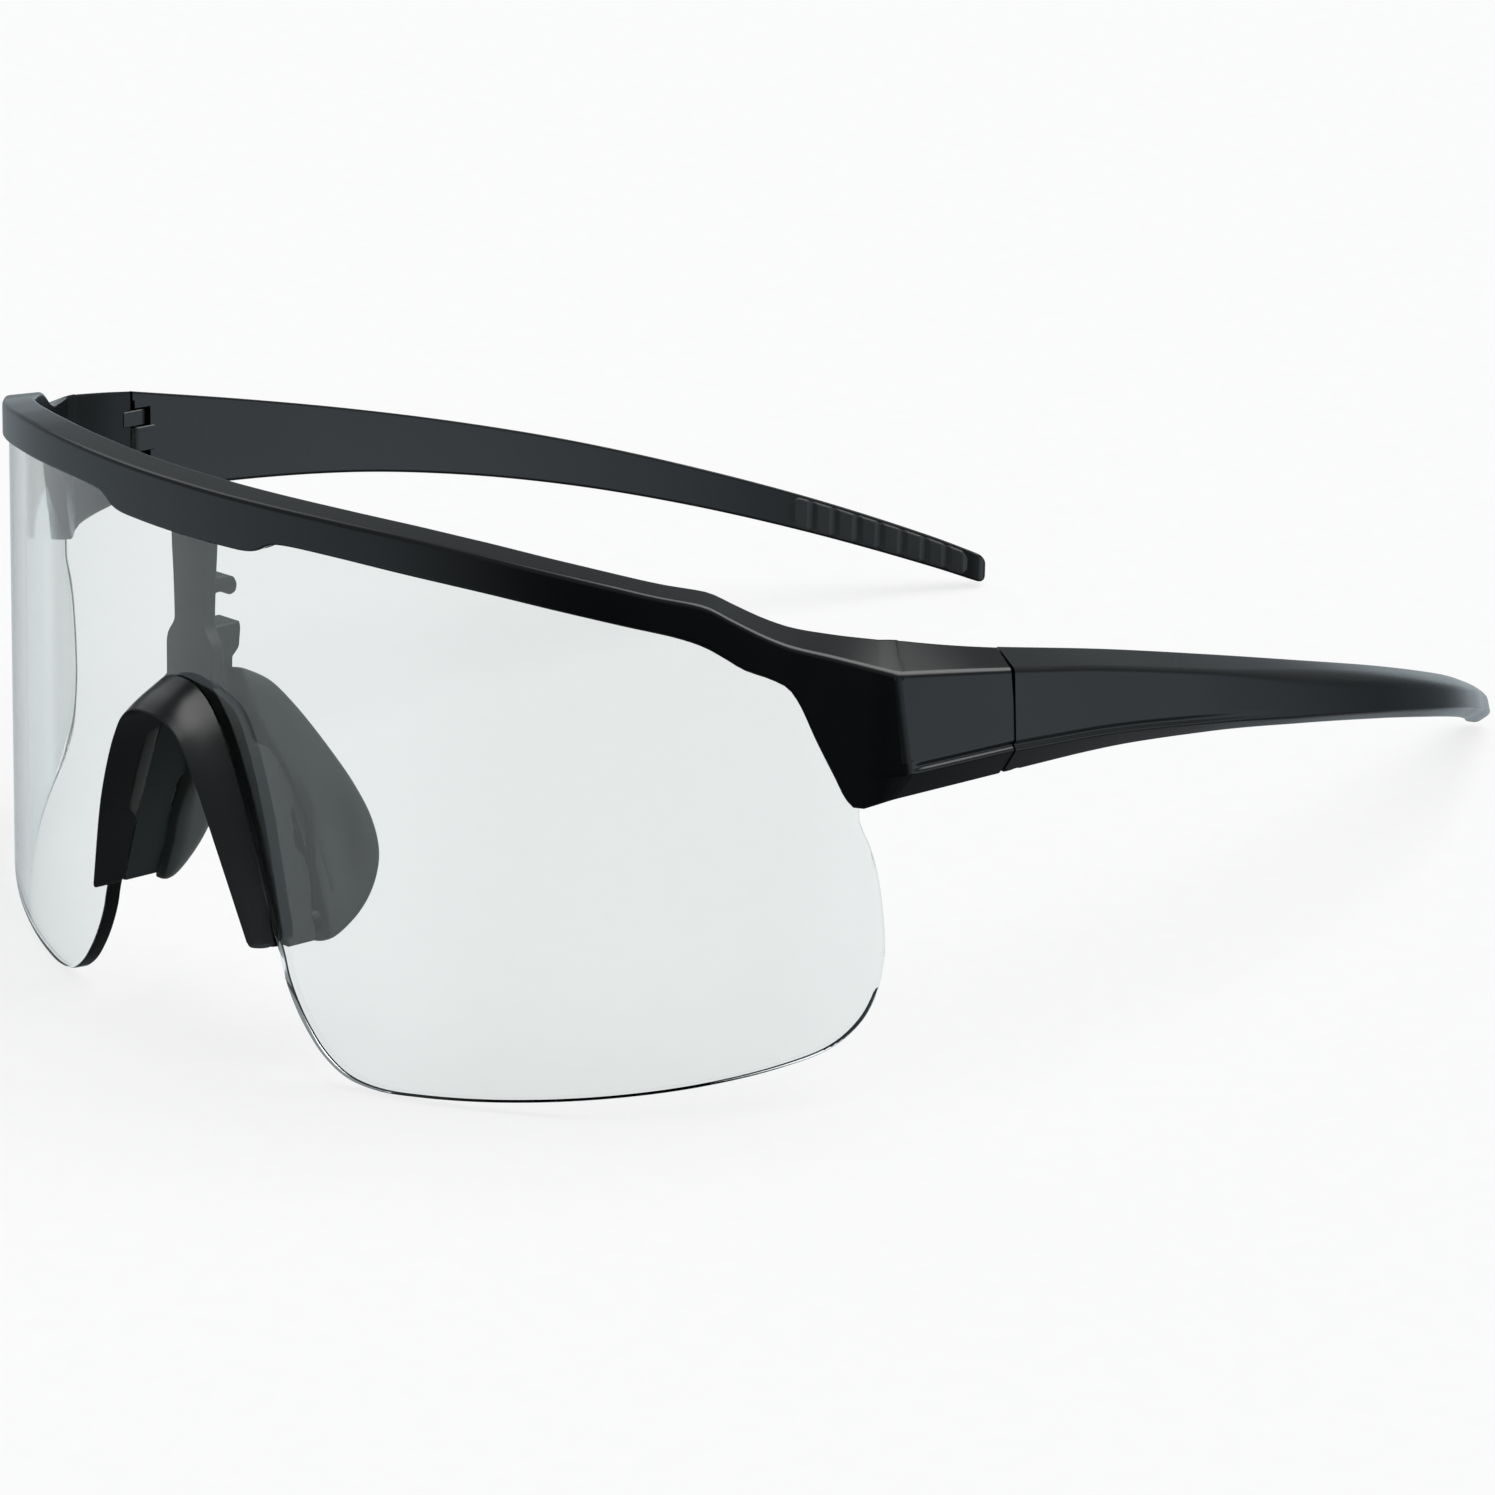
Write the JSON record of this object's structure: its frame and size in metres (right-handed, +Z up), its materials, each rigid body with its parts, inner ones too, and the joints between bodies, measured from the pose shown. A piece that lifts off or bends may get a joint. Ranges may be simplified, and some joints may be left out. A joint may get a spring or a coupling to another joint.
{
  "type": "wraparound sport sunglasses",
  "caption": "Wraparound shield sunglasses: one curved clear lens under a matte brow, nose bracket with soft pads, and folding temples with rubber grips.",
  "frame": {"origin": "centre of the overall box at its base: the plane that the lens's two lobes and the temple tips rest on", "axes": "+X towards the wearer's left, +Y from the lens back to the temple tips, +Z up with the glasses lying open on a table"},
  "size_m": [0.1504, 0.1656, 0.0619],
  "materials": {
    "frame_plastic": "satin black moulded nylon",
    "lens": "clear polished polycarbonate",
    "cover_plastic": "satin black moulded nylon",
    "bracket_plastic": "satin moulded nylon",
    "pad_rubber": "soft matte rubber",
    "grip_rubber": "soft matte ribbed rubber",
    "screw_steel": "plated steel",
    "insert_brass": "turned brass"
  },
  "bodies": {
    "front": {"frame_front": "frame_plastic", "lens": "lens", "nose_cover": "cover_plastic", "nose_bracket": "bracket_plastic", "nose_pad_left": "pad_rubber", "nose_pad_right": "pad_rubber", "nose_pad_core_left": "bracket_plastic", "nose_pad_core_right": "bracket_plastic", "hinge_screw_left": "screw_steel", "hinge_screw_right": "screw_steel", "hinge_insert_left": "insert_brass", "hinge_insert_right": "insert_brass"},
    "temple_left": {"temple_left": "frame_plastic", "temple_grip_left": "grip_rubber"},
    "temple_right": {"temple_right": "frame_plastic", "temple_grip_right": "grip_rubber"}
  },
  "joints": [
    {"name": "temple_left_fold", "type": "hinge", "parent": "front", "child": "temple_left", "pos_m": [0.0723, -0.02576, 0.04028], "axis": [0, 0.0882, 0.9961], "range_deg": [0, 92]},
    {"name": "temple_right_fold", "type": "hinge", "parent": "front", "child": "temple_right", "pos_m": [-0.0723, -0.02576, 0.04028], "axis": [0, -0.0882, -0.9961], "range_deg": [0, 80]}
  ]
}
